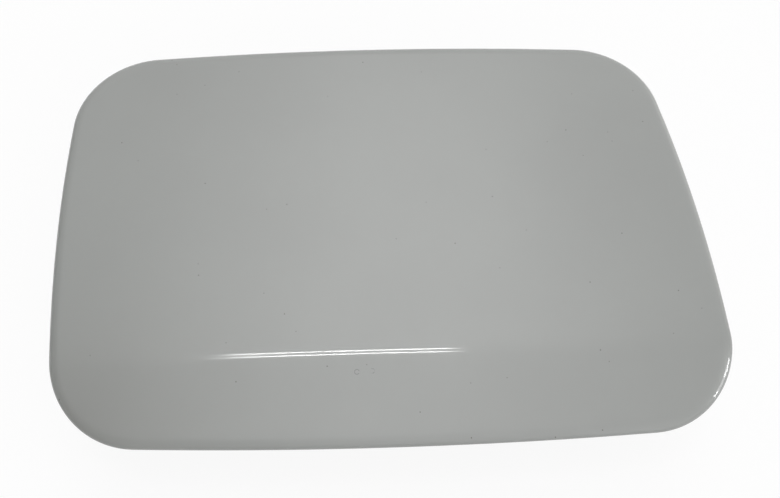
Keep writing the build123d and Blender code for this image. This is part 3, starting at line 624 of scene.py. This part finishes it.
# %% Spring coil
WIRE_RADIUS = 0.0007
WIRE_SIDES = 16
COIL_RADIUS = 0.0049
COIL_TURNS = 5.75
COIL_PITCH = 0.0016
STEPS_A_TURN = 48

coil_start_y = -COIL_TURNS * COIL_PITCH / 2
climb = math.atan2(COIL_PITCH, 2 * math.pi * COIL_RADIUS)
into_coil = Vector((-math.cos(climb), math.sin(climb), 0.0))
out_of_coil = Vector((0.0, math.sin(climb), -math.cos(climb)))

wire = bmesh.new()
coil_start = pin_centre + Vector((0.0, coil_start_y, -COIL_RADIUS))
wire_place = Matrix.Translation(coil_start) @ into_coil.to_track_quat("Z", "Y").to_matrix().to_4x4()
bmesh.ops.create_circle(wire, segments=WIRE_SIDES, radius=WIRE_RADIUS, cap_ends=False, matrix=wire_place)
first_ring = wire.edges[:]
coil = bmesh.ops.spin(
    wire,
    geom=wire.verts[:] + wire.edges[:],
    cent=pin_centre,
    axis=(0.0, 1.0, 0.0),
    dvec=(0.0, COIL_PITCH / STEPS_A_TURN, 0.0),
    angle=COIL_TURNS * 2 * math.pi,
    steps=round(COIL_TURNS * STEPS_A_TURN),
    use_merge=False,
)
last_ring = [part for part in coil["geom_last"] if isinstance(part, bmesh.types.BMEdge)]
print("coil faces:", len(wire.faces))

# %% [markdown]
# ## Spring legs
# Each open ring is drawn out straight along the wire and closed with a flat end. When the door opens, one leg
# goes with the door and the other stays on the base.

# %% Spring legs
MOVING_LEG = 0.0153
FIXED_LEG = 0.013

for ring, direction, length in ((first_ring, -into_coil, MOVING_LEG), (last_ring, out_of_coil, FIXED_LEG)):
    leg = bmesh.ops.extrude_edge_only(wire, edges=ring)["geom"]
    tip = [part for part in leg if isinstance(part, bmesh.types.BMVert)]
    bmesh.ops.translate(wire, verts=tip, vec=direction * length)
    leg_edges = [part for part in leg if isinstance(part, bmesh.types.BMEdge)]
    end_ring = [edge for edge in leg_edges if all(corner in tip for corner in edge.verts)]
    bmesh.ops.contextual_create(wire, geom=end_ring)
bmesh.ops.recalc_face_normals(wire, faces=wire.faces[:])
spring_mesh = bpy.data.meshes.new("spring_wire")
wire.to_mesh(spring_mesh)
wire.free()
for face in spring_mesh.polygons:
    face.use_smooth = len(face.vertices) == 4
spring_mesh.materials.append(wire_steel)
spring_wire = bpy.data.objects.new("spring_wire", spring_mesh)
bpy.context.scene.collection.objects.link(spring_wire)
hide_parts("torsion_spring")
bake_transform(spring_wire)
print("spring faces:", len(spring_mesh.polygons))

# %% [markdown]
# ## Floor
# The hinge base stands on a pale floor. A floor that is lit like the object would be grey, so what the camera
# and the mirrors see of it is mostly a white glow, and a share of real shading keeps the shadow. To all other
# rays it is plain pale grey, which throws some light back up under the door. Seen from below, the floor is
# clear, so that a view from there shows the hinge.

# %% Floor
FLOOR_HALF = 40.0
FLOOR_GREY = (0.80, 0.80, 0.80, 1.0)
FLOOR_PALE = (0.96, 0.96, 0.96, 1.0)
FLOOR_GLOW_SHARE = 0.90
WHITE = (1.0, 1.0, 1.0, 1.0)

floor_form = bmesh.new()
floor_place = Matrix.Translation((0.0, 0.0, cad_low.z))
bmesh.ops.create_grid(floor_form, x_segments=1, y_segments=1, size=FLOOR_HALF, matrix=floor_place)
floor_mesh = bpy.data.meshes.new("floor")
floor_form.to_mesh(floor_mesh)
floor_form.free()

floor_finish, tree, shader = new_finish("floor_white", Roughness=1.0, Specular_IOR_Level=0.0)
shader.inputs["Base Color"].default_value = FLOOR_GREY
shaded = add_node(tree, "ShaderNodeBsdfDiffuse", {"Color": FLOOR_PALE})
glow = add_node(tree, "ShaderNodeEmission", {"Color": WHITE, "Strength": 1.0})
glow_or_shade = add_node(tree, "ShaderNodeMixShader", {"Fac": FLOOR_GLOW_SHARE})
join(tree, shaded, glow_or_shade, 0, 1)
join(tree, glow, glow_or_shade, 0, 2)

ray = add_node(tree, "ShaderNodeLightPath")
direct = add_node(tree, "ShaderNodeMath", operation="MAXIMUM")
seen = add_node(tree, "ShaderNodeMath", operation="MAXIMUM")
from_above = add_node(tree, "ShaderNodeMixShader")
join(tree, ray, direct, "Is Camera Ray", 0)
join(tree, ray, direct, "Is Glossy Ray", 1)
join(tree, direct, seen, 0, 0)
join(tree, ray, seen, "Is Transmission Ray", 1)
join(tree, seen, from_above, 0, "Fac")
join(tree, shader, from_above, 0, 1)
join(tree, glow_or_shade, from_above, 0, 2)

sides = add_node(tree, "ShaderNodeNewGeometry")
clear = add_node(tree, "ShaderNodeBsdfTransparent")
one_way = add_node(tree, "ShaderNodeMixShader")
join(tree, sides, one_way, "Backfacing", "Fac")
join(tree, from_above, one_way, 0, 1)
join(tree, clear, one_way, 0, 2)
join(tree, one_way, tree.nodes["Material Output"], 0, "Surface")
floor_mesh.materials.append(floor_finish)
floor = bpy.data.objects.new("floor", floor_mesh)
bpy.context.scene.collection.objects.link(floor)
print("floor at", round(cad_low.z, 4))

# %% [markdown]
# ## Ceiling
# Clear coat needs something to mirror. Lamps would show their hard edges in the flat panel, so the light is a
# painted room instead, made of maths nodes in the world. Its ceiling is flat: a ray's direction divided by
# its height gives a place on a ceiling one unit up. A wide soft glow is painted on it, whose mirror image
# brightens the middle of the panel.

# %% Ceiling
ROOM_LEVEL = 0.36
LEAST_HEIGHT = 0.02
GLOW_CENTRE = (0.048, 0.23)
GLOW_REACH = (0.51, 1.31)
GLOW_LEVEL = 1.86

world = bpy.data.worlds.new("painted_ceiling")
bpy.context.scene.world = world
world.use_nodes = True
room = world.node_tree


def maths(operation, first, second=0.0):
    """A maths node on outputs or numbers."""
    node = add_node(room, "ShaderNodeMath", operation=operation)
    for socket, value in ((node.inputs[0], first), (node.inputs[1], second)):
        if isinstance(value, (int, float)):
            socket.default_value = value
        else:
            room.links.new(value, socket)
    return node.outputs[0]


def smooth_step(value, low, high):
    """Goes smoothly from 0 at low to 1 at high. Low may be the larger one."""
    limits = {"From Min": low, "From Max": high}
    node = add_node(room, "ShaderNodeMapRange", limits, interpolation_type="SMOOTHSTEP")
    room.links.new(value, node.inputs["Value"])
    return node.outputs["Result"]


ray_way = add_node(room, "ShaderNodeTexCoord").outputs["Generated"]
split = add_node(room, "ShaderNodeSeparateXYZ")
room.links.new(ray_way, split.inputs[0])
height = maths("MAXIMUM", split.outputs["Z"], LEAST_HEIGHT)
across = maths("DIVIDE", split.outputs["X"], height)
along = maths("DIVIDE", split.outputs["Y"], height)

glow_x = maths("DIVIDE", maths("SUBTRACT", across, GLOW_CENTRE[0]), GLOW_REACH[0])
glow_y = maths("DIVIDE", maths("SUBTRACT", along, GLOW_CENTRE[1]), GLOW_REACH[1])
glow_squares = maths("ADD", maths("MULTIPLY", glow_x, glow_x), maths("MULTIPLY", glow_y, glow_y))
glow_distance = maths("SQRT", glow_squares)
light = maths("ADD", ROOM_LEVEL, maths("MULTIPLY", smooth_step(glow_distance, 1.0, 0.0), GLOW_LEVEL))
print("nodes for the ceiling:", len(room.nodes))

# %% [markdown]
# ## Tubes over the crease
# In the photograph two thin lines of light run along the crease. A tight bend squeezes what it mirrors into
# thin lines, so two straight tubes on the ceiling give both of them. They lean a little, like the crease in
# the picture, and fade towards their ends. A faint wide halo round them softens the paint near the lines.

# %% Tubes over the crease
TUBE_PLACES = (-0.0105, 0.0525)
TUBE_LEAN = -0.085
TUBE_WIDTH = 0.0145
TUBE_EDGE = (0.6, 0.4)
TUBE_ENDS = (-0.165, 0.095)
TUBE_FADES = (0.12, 0.06)
TUBE_FADE_POWER = 5
TUBE_LEVEL = 28.0
HALO_REACH = 0.19
HALO_FADES = (0.15, 0.05)
HALO_LEVEL = 0.55
OVERHEAD = (0.05, 0.25)


def along_tubes(fades):
    """1 between the ends of the tubes, with a fade of its own beyond each end."""
    return maths(
        "MULTIPLY",
        smooth_step(across, TUBE_ENDS[0] - fades[0], TUBE_ENDS[0]),
        smooth_step(across, TUBE_ENDS[1] + fades[1], TUBE_ENDS[1]),
    )


overhead = smooth_step(split.outputs["Z"], *OVERHEAD)
tube_length = maths("POWER", along_tubes(TUBE_FADES), TUBE_FADE_POWER)
tube_line = maths("SUBTRACT", along, maths("MULTIPLY", across, TUBE_LEAN))
for tube_place in TUBE_PLACES:
    offset = maths("ABSOLUTE", maths("SUBTRACT", tube_line, tube_place))
    stripe = smooth_step(offset, TUBE_WIDTH * TUBE_EDGE[0], TUBE_WIDTH * TUBE_EDGE[1])
    tube = maths("MULTIPLY", maths("MULTIPLY", stripe, tube_length), overhead)
    light = maths("ADD", light, maths("MULTIPLY", tube, TUBE_LEVEL))
halo_offset = maths("ABSOLUTE", maths("SUBTRACT", tube_line, sum(TUBE_PLACES) / 2))
halo = maths("MULTIPLY", smooth_step(halo_offset, HALO_REACH, 0.0), along_tubes(HALO_FADES))
light = maths("ADD", light, maths("MULTIPLY", halo, HALO_LEVEL))
print("tubes:", len(TUBE_PLACES))

# %% [markdown]
# ## Walls
# Soft lights on the walls fill what the ceiling leaves dark: the strip below the crease, the far edge and the
# latch side. One wall is darker than the room, which keeps the hinge side of the panel as deep as the
# photograph shows it. Each is a round spot about a direction, with its reach given as an angle. The camera
# itself sees plain white instead of the room.

# %% Walls
WALL_LIGHTS = (
    ((0.80, 0.54, 0.30), math.radians(20), 1.0),
    ((0.21, -0.76, 0.62), math.radians(31), 0.65),
    ((0.05, 0.90, 0.42), math.radians(65), 0.47),
    ((0.75, -0.60, 0.30), math.radians(60), 0.55),
    ((-0.90, 0.05, 0.30), math.radians(70), -0.25),
)
SPOT_CORE = 0.995

for direction, reach, level in WALL_LIGHTS:
    aim = Vector(direction).normalized()
    facing = add_node(room, "ShaderNodeVectorMath", {1: aim}, operation="DOT_PRODUCT")
    room.links.new(ray_way, facing.inputs[0])
    spot = smooth_step(facing.outputs["Value"], math.cos(reach), SPOT_CORE)
    light = maths("ADD", light, maths("MULTIPLY", spot, level))

to_camera = add_node(room, "ShaderNodeLightPath").outputs["Is Camera Ray"]
light = maths("ADD", maths("MULTIPLY", light, maths("SUBTRACT", 1.0, to_camera)), to_camera)
room.links.new(light, room.nodes["Background"].inputs["Strength"])
room.nodes["Background"].inputs["Color"].default_value = WHITE
print("wall lights:", len(WALL_LIGHTS), "room nodes:", len(room.nodes))

# %% [markdown]
# ## Rim screen
# At the corner near the latch, the rolled rim mirrors something bright close by. A bright wall far off would
# show in the whole panel from other sides, so a low screen of three upright strips follows the corner's arc,
# 15 mm away. Its light has a short reach: a ray that comes from farther off passes through it, so only the
# rim mirrors it. The camera doesn't see it, and it throws no light or shadow on the paint.

# %% Rim screen
SCREEN_CENTRE = Vector((0.134, -0.039, 0.0))
SCREEN_RADIUS = 0.043
SCREEN_REACH = 0.0185
SCREEN_STRIPS = (
    ((-25.4, -15.1), (0.0430, 0.0477), 14.0),
    ((-34.4, -25.4), (0.0412, 0.0469), 4.0),
    ((-37.6, -34.4), (0.0405, 0.0460), 15.0),
)


def near_light(name, level):
    """A glow that only rays from within the screen's reach meet."""
    material, tree, shader = new_finish(name, Roughness=1.0, Emission_Strength=level)
    shader.inputs["Emission Color"].default_value = WHITE
    ray = add_node(tree, "ShaderNodeLightPath")
    near = add_node(tree, "ShaderNodeMath", {1: SCREEN_REACH}, operation="LESS_THAN")
    clear = add_node(tree, "ShaderNodeBsdfTransparent")
    reached = add_node(tree, "ShaderNodeMixShader")
    join(tree, ray, near, "Ray Length", 0)
    join(tree, near, reached, 0, "Fac")
    join(tree, clear, reached, 0, 1)
    join(tree, shader, reached, 0, 2)
    join(tree, reached, tree.nodes["Material Output"], 0, "Surface")
    return material


for number, (turns, (foot, head), level) in enumerate(SCREEN_STRIPS, 1):
    strip = bmesh.new()
    ends = []
    for angle in map(math.radians, turns):
        spoke = Vector((math.cos(angle), math.sin(angle), 0.0)) * SCREEN_RADIUS
        ends.append(strip.verts.new(SCREEN_CENTRE + spoke + Vector((0.0, 0.0, foot))))
    raised = bmesh.ops.extrude_edge_only(strip, edges=[strip.edges.new(ends)])["geom"]
    top = [part for part in raised if isinstance(part, bmesh.types.BMVert)]
    bmesh.ops.translate(strip, verts=top, vec=(0.0, 0.0, head - foot))
    strip_mesh = bpy.data.meshes.new(f"rim_screen_{number}")
    strip.to_mesh(strip_mesh)
    strip.free()
    strip_mesh.materials.append(near_light(f"rim_screen_{number}", level))
    rim_strip = bpy.data.objects.new(f"rim_screen_{number}", strip_mesh)
    rim_strip.visible_camera = False
    rim_strip.visible_diffuse = False
    rim_strip.visible_shadow = False
    bpy.context.scene.collection.objects.link(rim_strip)
print("screen strips:", len(SCREEN_STRIPS))
